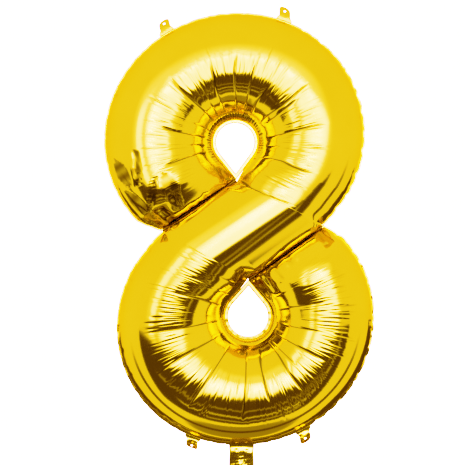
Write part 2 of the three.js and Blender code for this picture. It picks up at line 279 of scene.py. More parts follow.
def end_closing(loop, p):
    """The share of the section's depth that is left where a loop's free end closes on its slit."""
    tip, notch = slit_edge(loop, LOBE_SIDE)
    share = np.clip(beside_line(to_loop(loop, p), notch, tip) / LOBE_END_LENGTH, 0, 1)
    return np.sqrt(1 - (1 - share) ** 2)


def section_table(loop, diagonal_width):
    """The sections from the loop's own to the straight diagonal's, as (level, x or depth, place)."""
    outer = (loop["long_radius"] + loop["short_radius"]) / 2
    bend = 2 / (outer + loop["hole_radius"])
    width = outer - loop["hole_radius"]
    levels = np.linspace(0, 1, SECTION_LEVELS)
    table = np.array([tube_section(mix(width, diagonal_width, u), mix(bend, 0, u)) for u in levels])
    if loop is LOWER:
        table[:, 0] = 1 - table[:, 0]
        table = table[:, :, ::-1]
    return table


def foil_grid():
    """The smooth sheet over (rib, place across): its flat (x, z), its depth, and both weld lines."""
    t = np.linspace(0, 1, LOOP_RIBS + 1)
    straight_loop = 1 - smooth((1 - t) / STRAIGHTENING)
    up_in, up_out = loop_ribs(UPPER, t)
    low_in, low_out = loop_ribs(LOWER, t)
    tip_a, notch_a = (from_loop(UPPER, p) for p in slit_edge(UPPER, DIAGONAL_SIDE))
    tip_b, notch_b = (from_loop(LOWER, p) for p in slit_edge(LOWER, DIAGONAL_SIDE))
    s = ((np.arange(DIAGONAL_RIBS) + 1) / (DIAGONAL_RIBS + 1))[:, None]
    right = np.concatenate(
        [from_loop(UPPER, up_in), mix(tip_a, notch_a, s), from_loop(LOWER, low_out)[::-1]]
    )
    left = np.concatenate(
        [from_loop(UPPER, up_out), mix(notch_b, tip_b, s), from_loop(LOWER, low_in)[::-1]]
    )
    straight = np.concatenate([straight_loop, np.ones(DIAGONAL_RIBS), straight_loop[::-1]])
    rib = np.arange(len(right))
    is_lower = rib > LOOP_RIBS + DIAGONAL_RIBS / 2
    diagonal_width = abs(beside_line(tip_a, tip_b, notch_b))
    x_at, depth_at = np.zeros((len(right), ACROSS + 1)), np.zeros((len(right), ACROSS + 1))
    for loop, mine in ((UPPER, ~is_lower), (LOWER, is_lower)):
        table = section_table(loop, diagonal_width)
        at_level = straight[mine] * (SECTION_LEVELS - 1)
        low = np.minimum(at_level.astype(int), SECTION_LEVELS - 2)
        part = (at_level - low)[:, None]
        x_at[mine] = mix(table[low, 0], table[low + 1, 0], part)
        depth_at[mine] = mix(table[low, 1], table[low + 1, 1], part)
    flat = mix(right[:, None], left[:, None], x_at[..., None])
    for loop, mine in ((UPPER, rib < LOOP_RIBS / 2), (LOWER, rib > len(right) - LOOP_RIBS / 2)):
        depth_at[mine] *= end_closing(loop, flat[mine])
    return flat, depth_at, right, left


# ---------- how the foil creases ----------

# Where the long creases lie round each hole, in degrees from +X, and how far in from the hole's weld
# line each one reaches. A loop's comb of short pleats lies between two distances from the crest.
UPPER_LOOK = dict(
    creases=(
        (199, 120), (185, 60), (170, 125), (156, 60), (136, 150), (122, 60), (109, 135), (89, 140),
        (74, 130), (60, 95), (38, 150), (33, 120), (10, 150), (-6, 60), (-23, 140), (-52, 150),
    ),
    comb_from_crest=(-48, 6),
    comb_gain=1.5,
    ring_strength=0.09,
)
LOWER_LOOK = dict(
    creases=(
        (-45, 100), (12, 120), (30, 60), (-11, 110), (-29, 140), (-53, 150), (-75, 140), (-93, 170),
        (-124, 170), (-149, 150), (-172, 165), (162, 130), (148, 60), (135, 80),
    ),
    comb_from_crest=(-34, 30),
    comb_gain=1.6,
    ring_strength=0.012,
)
CREST = 145  # from the hole's weld line to the crest of the tube, along the foil

# Pairs are the least and the most of what is drawn at random. `soft` is the length over which a crease
# fades at its ends, `drift` how far it wanders, `uneven` how its strength varies, `shade` how dark its
# painted shade is.
# `strength` is its depth as a share of its width.
PILLOWS = dict(
    start=(34, 50), past=30, at_ends=60, strength=0.026, uneven=(0.6, 1.3),
    soft=55, drift=1.5, shade=0, power=2.4,
)
GROOVES = dict(start=(22, 30), past=15, soft=16, depth=(0.6, 1.2), width=(1.4, 2.3), drift=1.5, shade=0.8)
COMBS = (
    dict(spacing=7.5, strength=0.05, length=(30, 72), uneven=(0.1, 1.3), soft=16, drift=0.8, shade=0.4),
    dict(spacing=3.9, strength=0.075, length=(24, 70), uneven=(0.1, 1.3), soft=16, drift=0.3, shade=0.4),
)
RING_MIDDLE = 22  # from the hole's weld line
RING = dict(
    spacing=5.6, length=(16, 32), uneven=(0.5, 1.2), soft=9, drift=0.1, shade=0.95, tightness=1.3
)
SCALLOP_MIDDLE = 10  # from the seam
SCALLOPS = (
    dict(spacing=24, strength=0.03, length=(12, 40), uneven=(0.2, 1.5), soft=6, drift=0.4, shade=0.3),
    dict(spacing=9, strength=0.03, length=(6, 18), uneven=(0.2, 1.5), soft=3, drift=0.4, shade=0.3),
)
TUCKS = (
    dict(spacing=21, strength=0.10, length=(25, 75), soft=12.5),
    dict(spacing=9, strength=0.08, length=(10, 30), soft=5),
    dict(spacing=4.5, strength=0.06, length=(5, 14), soft=2.5),
)
TUCKS_PAST = 25  # how far past both ends of the slit the tucks go on
TUCKS_SHADE = 0.25
POWER, TIGHTNESS = 2.0, 3  # how sharp the cusp of a crease is, in its shape and in its painted shade
FOLDED_STRENGTH = 0.08  # a dip this deep for its width counts as tightly folded and gets the full painted shade
FOLD_WIDTH = 1.1  # half the width of the painted shade along a groove, where its foil is folded tight

# Leaf-shaped facets crushed into the upper free end, each painted dark as a painted dark reflection: the
# middle of each, the way it points in degrees, its length and its width.
FACETS = (
    (-236, 108, -61, 66, 26), (-207, 119, -87, 88, 15), (-203, 47, -44, 84, 24),
    (-177, 66, -101, 76, 18), (-141, 78, -65, 74, 36), (-150, 29, -45, 40, 20),
)
FACET_DEPTH = 2.2
# how dark the facets are painted: a painted dark reflection of the surroundings
FACET_SHADE = 0.85

PRESSED_REACH = 22  # from a slit, over which its two sides lean on each other
PRESSED_SHARE = 0.93  # of the gap between the two sides that leaning closes
PRESSED_SOFT = (25, 18)  # over which that begins at the hole's tip and at the notch

SEAM_PULL = ((3.6, 25), (0.4, 11))  # how far puckers draw the outer seam in, and how far apart they are
SEAM_SWAY = 0.8
SEAM_SWAY_SPACINGS = (34, 29)
SEAM_CALM = 40  # over which the puckers begin at a notch
SEAM_REACH = 14  # how far into the foil the seam's own puckers are felt


def hoop_run(points):
    """Length along the tube, summed from the first rib, for each place across."""
    step = np.linalg.norm(np.diff(points, axis=0), axis=-1)
    return np.concatenate([np.zeros((1, points.shape[1])), np.cumsum(step, axis=0)])


def from_seams(points):
    """Length across the tube from its right weld line and from its left one."""
    step = np.linalg.norm(np.diff(points, axis=1), axis=-1)
    run = np.concatenate([np.zeros((len(points), 1)), np.cumsum(step, axis=1)], axis=1)
    return run, run[:, -1:] - run


def rib_at(loop, angle):
    """The rib that crosses the tube's crest at this angle round the loop's hole."""
    target = from_loop(loop, np.array(loop["hole_centre"])) + polar(angle, 150.0)
    rib = np.arange(len(flat))
    mine = rib < LOOP_END + 1 if loop is UPPER else rib >= DIAGONAL_END
    gap = np.linalg.norm(flat - target, axis=-1).min(axis=1)
    gap[~mine] = np.inf
    return int(np.argmin(gap))


def spread(run, first, last, spacing, rng):
    """Places between two ribs, about `spacing` apart along `run`, unevenly."""
    count = max(2, int(round((run[last] - run[first]) / spacing)) + 1)
    even = np.linspace(0, 1, count)
    even[1:-1] += rng.uniform(-0.3, 0.3, count - 2) / (count - 1)
    return np.interp(mix(run[first], run[last], even), run, np.arange(len(run)))


def split(places, run, spacing, rng):
    """Each gap between creases split into parts about `spacing` long."""
    marks = np.interp(places, np.arange(len(run)), run)
    found = [marks]
    for a, b in zip(marks[:-1], marks[1:]):
        parts = int(round((b - a) / spacing * rng.uniform(0.8, 1.25)))
        if parts > 1:
            inside = np.arange(1, parts) / parts + rng.uniform(-0.25, 0.25, parts - 1) / parts
            found.append(mix(a, b, inside))
    return np.interp(np.sort(np.concatenate(found)), run, np.arange(len(run)))


def wander(shape, rng, waves=6):
    """A smooth uneven field of about unit size over the grid."""
    i = np.linspace(0, 1, shape[0])[:, None]
    j = np.linspace(0, 1, shape[1])[None, :]
    total = np.zeros(shape)
    for _ in range(waves):
        cycles = rng.uniform(10, 60) * i + rng.uniform(0.3, 2.5) * j
        total += np.sin(2 * np.pi * cycles + rng.uniform(0, 6.3))
    return total / np.sqrt(waves / 2)


def dips(marks, start, end, soft, strength, run, distance, power=POWER, tightness=TIGHTNESS):
    """How far the foil dips into creases, and how tightly it is folded there from 0 to 1.

    Each crease is a cusp that rises to the middle of the gap to the next. `marks` holds where the
    creases lie in each column of `run`. A crease begins `start` and ends `end` from the seam.
    """
    total, fold = np.zeros(run.shape), np.zeros(run.shape)
    tight = np.clip(strength / FOLDED_STRENGTH, 0, 1)
    for j in range(run.shape[1]):
        at, s, d = marks[:, j], run[:, j], distance[:, j]
        gap = np.maximum(np.diff(at), 1e-3)
        own = np.concatenate([gap[:1], (gap[1:] + gap[:-1]) / 2, gap[-1:]])
        k = np.clip(np.searchsorted(at, s) - 1, 0, len(gap) - 1)
        tau = np.clip((s - at[k]) / gap[k], 0, 1)
        beyond = np.maximum(np.maximum(at[0] - s, s - at[-1]), 0)
        for c, side in ((k, 1 - 2 * tau), (k + 1, 2 * tau - 1)):
            within = smooth((d - start[c]) / soft) * smooth((end[c] - d) / soft)
            cusp = np.maximum(side, 0)
            total[:, j] -= strength[c] * own[c] * within * (cusp**power - 0.25)
            fold[:, j] += tight[c] * within * cusp**tightness * np.exp(-beyond)
    return total, fold


def marks_at(places, run):
    """Where creases that follow the ribs lie in each column of `run`."""
    index = np.arange(len(run))
    return np.stack([np.interp(places, index, run[:, j]) for j in range(run.shape[1])], 1)


def grooves(marks, start, end, soft, depth, width, run, distance):
    """Narrow sharp folds at `marks`: how far they dip, and how tightly the foil is folded."""
    total, fold = np.zeros(run.shape), np.zeros(run.shape)
    for c, at in enumerate(marks):
        off = np.abs(run - at)
        within = smooth((distance - start[c]) / soft) * smooth((end[c] - distance) / soft)
        total -= depth[c] * np.exp(-off / width[c]) * within
        fold += np.exp(-((off / FOLD_WIDTH) ** 2)) * within
    return total, fold


def crumple(u, v, rng, scale, waves=7):
    """Creased facets over the plane, of about unit height, with folds about `scale` apart."""
    total = np.zeros(np.broadcast(u, v).shape)
    for _ in range(waves):
        turn, length = rng.uniform(0, np.pi), scale * rng.uniform(0.6, 2.2)
        phase = (u * np.cos(turn) + v * np.sin(turn)) / length + rng.uniform(0, 2)
        total += (np.abs(phase % 2 - 1) - 0.5) * length / scale
    return total / np.sqrt(waves)


def puckers(run, spacing, rng):
    """Between -1 at each pucker of a seam and 0 half-way to the next."""
    count = max(3, int((run[-1] - run[0]) / spacing) + 1)
    at = np.linspace(run[0], run[-1], count)
    at[1:-1] += rng.uniform(-0.35, 0.35, count - 2) * spacing
    size = rng.uniform(0.15, 1.0, count)
    k = np.clip(np.searchsorted(at, run) - 1, 0, count - 2)
    tau = (run - at[k]) / (at[k + 1] - at[k])
    return -size[k] * np.maximum(1 - 2 * tau, 0) ** 2 - size[k + 1] * np.maximum(2 * tau - 1, 0) ** 2


def outer_seam(weld, loop, rng):
    """A loop's outer weld line: its outward direction, how it is pulled in and how it sways."""
    step = np.gradient(weld, axis=0)
    out = np.stack([step[:, 1], -step[:, 0]], -1)
    out /= np.linalg.norm(out, axis=1, keepdims=True)
    out *= np.sign(((weld - np.array(loop["centre"])) * out).sum())
    run = np.concatenate([[0], np.cumsum(np.linalg.norm(np.diff(weld, axis=0), axis=1))])
    calm = smooth(np.minimum(run, run[-1] - run) / SEAM_CALM)
    uneven = mix(0.35, 1.0, smooth((weld[:, 0] - 20) / 130))  # drawn in more on the right
    (far, wide), (near, narrow) = SEAM_PULL
    pull = calm * uneven * (far * puckers(run, wide, rng) + near * puckers(run, narrow, rng))
    ahead, behind = (puckers(run, spacing, rng) for spacing in SEAM_SWAY_SPACINGS)
    sway = calm * uneven * SEAM_SWAY * (ahead - behind)
    return dict(weld=weld, out=out, pull=pull, sway=sway)


def press_together(points, loop):
    """The tubes on both sides of a slit lean on each other, so only a thin line shows between them."""
    sides = [np.array(slit_edge(loop, side)) for side in (LOBE_SIDE, DIAGONAL_SIDE)]
    tip, notch = from_loop(loop, (sides[0] + sides[1]) / 2)
    length = np.linalg.norm(notch - tip)
    ahead = (notch - tip) / length
    beside = np.array([-ahead[1], ahead[0]])
    off = points[..., [0, 2]] - tip
    u, v = off @ ahead, off @ beside
    at_tip, at_notch = PRESSED_SOFT
    held = smooth(u / at_tip) * smooth((length - u) / at_notch)
    shift = -PRESSED_SHARE * v * np.exp(-((np.abs(v) / PRESSED_REACH) ** 3)) * held
    points[..., 0] += shift * beside[0]
    points[..., 2] += shift * beside[1]


flat, depth, right_weld, left_weld = foil_grid()
UPPER_SEAM = outer_seam(left_weld[: LOOP_END + 1], UPPER, np.random.default_rng(3))
LOWER_SEAM = outer_seam(right_weld[DIAGONAL_END:], LOWER, np.random.default_rng(4))


class Sheet:
    """One smooth sheet of foil, the creases laid on it so far, and the painted shade they bring."""

    def __init__(self, side):
        self.side = side
        self.points = np.stack([flat[..., 0], side * (SEAM_HALF + depth), flat[..., 1]], -1)
        self.run = hoop_run(self.points)
        self.from_right, self.from_left = from_seams(self.points)
        self.rise = np.zeros(self.run.shape)
        # fold: how dark the sheet is to be painted, painted shade from its creases
        self.fold = np.zeros(self.run.shape)

    def add(self, rise_and_fold, share=1.0, shade=1.0):
        rise, fold = rise_and_fold
        self.rise = self.rise + rise * share
        # each crease adds painted shade, as dark as its `shade`
        self.fold = self.fold + fold * share * shade

    def crease(self, places, start, end, strength, distance, drift, style):
        """Lays creases that follow the ribs at `places`, but for how far they drift along the tube."""
        marks = marks_at(places, self.run)
        run = self.run + drift * style["drift"]
        power, tightness = style.get("power", POWER), style.get("tightness", TIGHTNESS)
        creases = dips(marks, start, end, style["soft"], strength, run, distance, power, tightness)
        self.add(creases, shade=style["shade"])

    def outwards(self):
        along = np.gradient(self.points, axis=0)
        across = np.gradient(self.points, axis=1)
        normal = np.cross(along, across)
        sign = np.sign((normal[..., 1] * self.side).sum())
        return normal * (sign / (np.linalg.norm(normal, axis=-1, keepdims=True) + 1e-9))


def crease_loop(sheet, loop, rng):
    """A loop's creases: the long ones from its hole, the comb on its crest, the ring at its hole."""
    run = sheet.run
    if loop is UPPER:
        look, distance, first, final = UPPER_LOOK, sheet.from_right, 0, LOOP_END
    else:
        look, distance, first, final = LOWER_LOOK, sheet.from_left, DIAGONAL_END, len(run) - 1
    middle = final - LOOP_RIBS // 2
    at_crest = int(np.argmin(np.abs(distance[middle] - CREST)))
    at_ring = int(np.argmin(np.abs(distance[middle] - RING_MIDDLE)))
    long_ones = np.array(sorted((rib_at(loop, angle), reach) for angle, reach in look["creases"]), float)
    drift = wander(run.shape, rng)

    # broad pillows between the long creases, and a sharp groove in each of them, with painted shade along
    # each groove
    places = np.concatenate([[first], long_ones[:, 0], [final]])
    ends = [PILLOWS["at_ends"]]
    end = np.concatenate([ends, long_ones[:, 1] + PILLOWS["past"], ends])
    start = rng.uniform(*PILLOWS["start"], len(places))
    strength = PILLOWS["strength"] * rng.uniform(*PILLOWS["uneven"], len(places))
    sheet.crease(places, start, end, strength, distance, drift, PILLOWS)
    start = rng.uniform(*GROOVES["start"], len(long_ones))
    end = long_ones[:, 1] + GROOVES["past"]
    dip = rng.uniform(*GROOVES["depth"], len(long_ones))
    width = rng.uniform(*GROOVES["width"], len(long_ones))
    drifting = run + drift * GROOVES["drift"]
    marks = marks_at(long_ones[:, 0], run)
    sharp = grooves(marks, start, end, GROOVES["soft"], dip, width, drifting, distance)
    sheet.add(sharp, shade=GROOVES["shade"])

    # the comb of short pleats along the crest, deepest on the lower loop, each with a line of painted shade
    for comb in COMBS:
        base = split(places, run[:, at_crest], comb["spacing"], rng)
        count = len(base)
        centre = CREST + rng.uniform(*look["comb_from_crest"], count)
        half = rng.uniform(*comb["length"], count) / 2
        strength = comb["strength"] * rng.uniform(*comb["uneven"], count) * look["comb_gain"]
        sheet.crease(base, centre - half, centre + half, strength, distance, drift, comb)

    # the ring of fine pleats round the hole, nearly smooth on the lower loop, painted dark along each pleat
    # as painted shade
    base = split(places, run[:, at_ring], RING["spacing"], rng)
    count = len(base)
    end = rng.uniform(*RING["length"], count)
    strength = look["ring_strength"] * rng.uniform(*RING["uneven"], count)
    sheet.crease(base, np.zeros(count), end, strength, distance, drift, RING)


def scallop_seams(sheet, rng):
    """Short scallops along the outer seams and along both sides of the diagonal."""
    run = sheet.run
    for distance, first, final in (
        (sheet.from_left, 0, LOOP_END),
        (sheet.from_right, DIAGONAL_END, len(run) - 1),
        (sheet.from_right, LOOP_END, DIAGONAL_END),
        (sheet.from_left, LOOP_END, DIAGONAL_END),
    ):
        column = int(np.argmin(np.abs(distance[(first + final) // 2] - SCALLOP_MIDDLE)))
        wide, fine = SCALLOPS
        places = spread(run[:, column], first, final, wide["spacing"], rng)
        drift = wander(run.shape, rng)
        for scallop in (wide, fine):
            if scallop is fine:
                places = split(places, run[:, column], fine["spacing"], rng)
            count = len(places)
            strength = scallop["strength"] * rng.uniform(*scallop["uneven"], count)
            end = rng.uniform(*scallop["length"], count)
            # each scallop gets painted shade, as dark as its `shade`
            sheet.crease(places, np.zeros(count), end, strength, distance, drift, scallop)


def tuck_ends(sheet, rng):
    """Towards each free end the ribs lie along the slit: their creases give way to tucks across it."""
    t = np.arange(len(sheet.run)) / LOOP_RIBS
    for loop, ramp in ((UPPER, t), (LOWER, t[::-1])):
        opening = smooth((ramp - 0.02) / 0.13)[:, None]
        sheet.rise = sheet.rise * opening
        sheet.fold = sheet.fold * opening
        tip, notch = slit_edge(loop, LOBE_SIDE)
        local = to_loop(loop, flat)
        away = np.abs(beside_line(local, notch, tip)) + depth * 0.6
        length = np.linalg.norm(notch - tip)
        along_slit = (local - tip) @ ((notch - tip) / length)
        off_seams = smooth(np.minimum(sheet.from_right, sheet.from_left) / 12)
        near = smooth((0.42 - ramp) / 0.15)[:, None] * off_seams
        for tuck in TUCKS:
            spacing = tuck["spacing"]
            count = int(length / spacing) + 5
            even = np.linspace(-TUCKS_PAST, length + TUCKS_PAST, count)
            at = even + rng.uniform(-0.3, 0.3, count) * spacing
            marks = np.repeat(at[:, None], sheet.run.shape[1], 1)
            strength = tuck["strength"] * rng.uniform(0.2, 1.4, count)
            end = rng.uniform(*tuck["length"], count)
            tucked = dips(marks, np.zeros(count), end, tuck["soft"], strength, along_slit, away)
            # the tucks get painted shade too, as dark as TUCKS_SHADE
            sheet.add(tucked, near, TUCKS_SHADE)


def crush_end(sheet, rng):
    """The upper free end is crushed into leaf-shaped facets that run in to its slit, each painted dark: a
    painted dark reflection.
    """
    for x, z, angle, length, width in FACETS:
        ahead = polar(angle, 1.0)
        off = flat - (x, z)
        u = (off @ ahead) / (length / 2)
        v = (off @ np.array([-ahead[1], ahead[0]])) / (width / 2)
        edge = np.abs(v) / np.maximum(1 - u * u, 0.02)
        inside = np.where(np.abs(u) < 1, np.clip(1 - edge, 0, 1), 0)
        sheet.rise = sheet.rise - FACET_DEPTH * smooth(inside * 1.2)
        streaks = 0.75 + 0.25 * np.sin(u * 9 + rng.uniform(0, 6))
        # painted dark reflection: the facets' colour is darkened, in streaks
        sheet.fold = np.maximum(sheet.fold, FACET_SHADE * smooth(inside * 6) * streaks)


def wrinkled(side, rng):
    """The points of one creased sheet, and how dark each is to be painted: painted shade in its creases, a
    painted dark reflection on its facets.
    """
    sheet = Sheet(side)
    for loop in (UPPER, LOWER):
        crease_loop(sheet, loop, rng)
    scallop_seams(sheet, rng)
    tuck_ends(sheet, rng)
    crush_end(sheet, np.random.default_rng(11 + side))
    points = sheet.points + sheet.outwards() * sheet.rise[..., None]
    for seam, rows, distance in (
        (UPPER_SEAM, slice(0, LOOP_END + 1), sheet.from_left),
        (LOWER_SEAM, slice(DIAGONAL_END, None), sheet.from_right),
    ):
        near = np.exp(-distance[rows] / SEAM_REACH)
        points[rows, :, 0] += near * (seam["pull"] * seam["out"][:, 0])[:, None]
        points[rows, :, 2] += near * (seam["pull"] * seam["out"][:, 1])[:, None]
        points[rows, :, 1] += near * seam["sway"][:, None]
    for loop in (UPPER, LOWER):
        press_together(points, loop)
    return points, np.clip(sheet.fold, 0, 1)


# ---------- meshes ----------

PAINTED_SHADE_ATTRIBUTE = "fold"  # the name of the attribute that tells a material how dark to paint its foil: painted shade where it is folded


def drawn_middle():
    """The middle of the outer weld out to the edge of its flange."""
    found = []
    for loop in (UPPER, LOWER):
        angle = np.linspace(angle_of(notch_of(loop)) % 360, angle_of(other_notch_of(loop)), 1200)
        found.append(from_loop(loop, polar(angle, outline_radius(loop, angle) + OUTER_FLANGE)))
    found = np.concatenate(found)
    return (found.min(axis=0) + found.max(axis=0)) / 2


seam_low, seam_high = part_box("welded_seam")
packed_middle = (np.array(seam_low) + np.array(seam_high)) / 2
drawn_x, drawn_z = drawn_middle() * MM
origin = np.array([packed_middle[0] - drawn_x, 0.0, packed_middle[2] - drawn_z])


def place(points):
    """From millimetres round the middle of the diagonal to metres in the frame."""
    return points * MM + origin


def in_scene(name, data):
    """A new object, linked into the scene."""
    obj = bpy.data.objects.new(name, data)
    bpy.context.scene.collection.objects.link(obj)
    return obj


def foil_mesh(name, *grids):
    """One mesh of quads over grids of points. A grid is (points, flip, close_rows, close_columns)."""
    corners, quads, first = [], [], 0
    for points, flip, close_rows, close_columns in grids:
        rows, columns = points.shape[:2]
        in_rows = np.arange(rows if close_rows else rows - 1)
        in_columns = np.arange(columns if close_columns else columns - 1)
        i, j = np.meshgrid(in_rows, in_columns, indexing="ij")
        i1, j1 = (i + 1) % rows, (j + 1) % columns
        corner_rows = (i * columns + j, i * columns + j1, i1 * columns + j1, i1 * columns + j)
        quad = np.stack(corner_rows, -1).reshape(-1, 4)
        quads.append((quad[:, ::-1] if flip else quad) + first)
        corners.append(points.reshape(-1, 3))
        first += rows * columns
    corners, quads = np.concatenate(corners), np.concatenate(quads)
    mesh = bpy.data.meshes.new(name)
    mesh.vertices.add(len(corners))
    mesh.vertices.foreach_set("co", place(corners).astype(np.float32).ravel())
    mesh.loops.add(quads.size)
    mesh.loops.foreach_set("vertex_index", quads.astype(np.int32).ravel())
    mesh.polygons.add(len(quads))
    mesh.polygons.foreach_set("loop_start", np.arange(0, quads.size, 4, dtype=np.int32))
    mesh.polygons.foreach_set("use_smooth", np.ones(len(quads), bool))
    mesh.update()
    mesh.validate()
    return in_scene(name, mesh)


def keep_painted_shade(obj, fold):
    """The painted shade at each corner point, by how tightly the foil is folded there, for its material to
    paint.
    """
    folds = obj.data.attributes.new(PAINTED_SHADE_ATTRIBUTE, "FLOAT", "POINT")
    folds.data.foreach_set("value", fold.astype(np.float32).ravel())


# ---------- shader nodes ----------


def product(tree, a, b):
    node = tree.nodes.new("ShaderNodeMath")
    node.operation = "MULTIPLY"
    tree.links.new(a, node.inputs[0])
    tree.links.new(b, node.inputs[1])
    return node.outputs["Value"]


def between(tree, socket, low, high, soft):
    """1 where a value lies between low and high, easing to 0 over `soft` outside them."""
    edges = []
    for first, last in ((low - soft, low), (high + soft, high)):
        step = tree.nodes.new("ShaderNodeMapRange")
        step.interpolation_type = "SMOOTHSTEP"
        step.inputs["From Min"].default_value = first
        step.inputs["From Max"].default_value = last
        tree.links.new(socket, step.inputs["Value"])
        edges.append(step.outputs["Result"])
    return product(tree, *edges)


def layered(tree, colour, other, amount):
    """The colour `other` laid over `colour` where `amount` is 1."""
    node = tree.nodes.new("ShaderNodeMix")
    node.data_type = "RGBA"
    under, over = [socket for socket in node.inputs if socket.type == "RGBA"]
    if isinstance(colour, tuple):
        under.default_value = colour
    else:
        tree.links.new(colour, under)
    over.default_value = other
    tree.links.new(amount, node.inputs["Factor"])
    return [socket for socket in node.outputs if socket.type == "RGBA"][0]


# ---------- materials ----------

GOLDS = ((0.3, (0.78, 0.66, 0.20, 1)), (0.7, (0.82, 0.70, 0.22, 1)))  # where on the noise, and colour
GOLD_TINT = (1.0, 0.82, 0.35, 1)  # at grazing angles
PAINTED_SHADE_GOLD = (0.14, 0.10, 0.03, 1)  # painted shade: the dark gold painted where the foil is folded in a crease


def gold_foil(name, roughness):
    """Gold film, a little uneven in colour and polish, with painted shade where it is folded."""
    material = bpy.data.materials.new(name)
    material.use_nodes = True
    tree = material.node_tree
    shader = tree.nodes["Principled BSDF"]
    shader.inputs["Metallic"].default_value = 1.0
    shader.inputs["Specular Tint"].default_value = GOLD_TINT
    coordinates = tree.nodes.new("ShaderNodeTexCoord")
    noise = tree.nodes.new("ShaderNodeTexNoise")
    noise.inputs["Scale"].default_value = 9
    noise.inputs["Detail"].default_value = 4
    tree.links.new(coordinates.outputs["Object"], noise.inputs["Vector"])
    ramp = tree.nodes.new("ShaderNodeValToRGB")
    for element, (position, gold) in zip(ramp.color_ramp.elements, GOLDS):
        element.position = position
        element.color = gold
    tree.links.new(noise.outputs["Fac"], ramp.inputs["Fac"])
    # painted shade: the base colour is darkened by the fold attribute, standing in for shade and dark
    # reflections in creases
    folded = tree.nodes.new("ShaderNodeAttribute")
    folded.attribute_name = PAINTED_SHADE_ATTRIBUTE
    shaded = layered(tree, ramp.outputs["Color"], PAINTED_SHADE_GOLD, folded.outputs["Fac"])
    tree.links.new(shaded, shader.inputs["Base Color"])
    polish = tree.nodes.new("ShaderNodeMapRange")
    polish.inputs["To Min"].default_value = roughness * 0.8
    polish.inputs["To Max"].default_value = roughness * 1.3
    tree.links.new(noise.outputs["Fac"], polish.inputs["Value"])
    tree.links.new(polish.outputs["Result"], shader.inputs["Roughness"])
    return material


def glowing(name, strength=1.0):
    """A material that only gives light, and the node that gives it."""
    material = bpy.data.materials.new(name)
    material.use_nodes = True
    tree = material.node_tree
    tree.nodes.clear()
    light = tree.nodes.new("ShaderNodeEmission")
    light.inputs["Strength"].default_value = strength
    out = tree.nodes.new("ShaderNodeOutputMaterial")
    tree.links.new(light.outputs[0], out.inputs["Surface"])
    return material, light


foil = gold_foil("gold_foil", 0.1)
seam_foil = gold_foil("seam_foil", 0.16)
film = gold_foil("valve_film", 0.3)

# ---------- the two sheets ----------

for side, word in ((-1, "front"), (1, "back")):
    points, fold = wrinkled(side, np.random.default_rng(20 + side))
    sheet = foil_mesh(f"{word}_foil_sheet", (points, side > 0, False, False))
    keep_painted_shade(sheet, fold)
    sheet.data.materials.append(foil)
    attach(sheet, "envelope")
    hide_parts(f"{word}_foil_panel")

# ---------- the tabs' places, as the CAD works them out ----------

# name, loop, angle of the root, lean, how far it curls towards the front, height of its crumples
TABS = (
    ("top_left_tab", UPPER, 123, 15, -62, 0.5),
    ("top_right_tab", UPPER, 67, -17, -55, 0.45),
    ("bottom_right_tab", LOWER, 118, 14, 75, 1.3),
    ("bottom_left_tab", LOWER, 65.5, -14, 95, 1.9),
)


def tab_place(loop, angle):
    """The middle of a tab's fold line, and the way the tab points."""
    half_span = TAB_ROOT_WIDTH / 2 / outline_radius(loop, angle) / DEG
    at = angle + half_span * np.linspace(1, -1, 9)
    edge = from_loop(loop, polar(at, outline_radius(loop, at) + OUTER_FLANGE))
    chord = edge[-1] - edge[0]
    outwards = angle_of(chord) + 90
    proud = beside_line(edge, edge[0], edge[-1]).max()
    return mix(edge[0], edge[-1], 0.5) + polar(outwards, proud + TAB_FOLD_GAP / 2), outwards


tab_places = {name: tab_place(loop, angle) for name, loop, angle, *_ in TABS}

# ---------- the welded seam ----------

SEAM_FOIL_HALF = 0.25
SHOWN_FLANGE = 4.2  # the weld curls a little, so less of it shows than lies flat
SLIT_FOLD = 1.6  # the weld between the two edges of a slit is folded this far back
RING_POINTS = 240
RING_WAVES = (3, 5, 8, 13, 21)
SLIT_POINTS = 60
STILL_AT_TAB = 16  # the seam doesn't sway this close to a tab's fold
STILL_SOFT = 14


def flange(weld, out, width, sway, steps=4):
    """A closed strip from the weld line outwards, front face then back face."""
    u = np.linspace(0, 1, steps + 1)
    x, z = np.moveaxis(weld[:, None] + out[:, None] * width * u[None, :, None], -1, 0)
    rise = sway[:, None] * (1 + 0.5 * u[None, :] ** 1.5)
    front = np.stack([x, rise - SEAM_FOIL_HALF, z], -1)
    back = np.stack([x, rise + SEAM_FOIL_HALF, z], -1)
    return np.concatenate([front, back[:, ::-1]], axis=1)


def outer_flange(seam):
    weld = seam["weld"] + seam["out"] * seam["pull"][:, None]
    calm = np.ones(len(weld))
    for point, _ in tab_places.values():
        calm *= smooth((np.linalg.norm(weld - point, axis=1) - STILL_AT_TAB) / STILL_SOFT)
    return flange(weld, seam["out"], SHOWN_FLANGE, seam["sway"] * calm)


def hole_flange(loop):
    angle = loop["tip_angle"] + np.linspace(0, 360, RING_POINTS + 1)[:-1]
    weld = from_loop(loop, hole_point(loop, angle))
    inner = from_loop(loop, hole_point(loop, angle, HOLE_FLANGE))
    rng = np.random.default_rng(6)
    phase = np.linspace(0, 2 * np.pi, RING_POINTS + 1)[:-1]
    sway = sum(rng.uniform(0.02, 0.07) * np.sin(k * phase + rng.uniform(0, 6)) for k in RING_WAVES)
    return flange(weld, (inner - weld) / HOLE_FLANGE, HOLE_FLANGE, sway)


def slit_weld(loop):
    along = np.linspace(0, 1, SLIT_POINTS)[:, None]
    near, far = (from_loop(loop, mix(*slit_edge(loop, side), along)) for side in (LOBE_SIDE, DIAGONAL_SIDE))
    strip = flange(near, (far - near) / SLIT_WIDTH, SLIT_WIDTH, np.zeros(SLIT_POINTS), steps=2)
    strip[:, (1, 4), 1] += SLIT_FOLD
    return strip


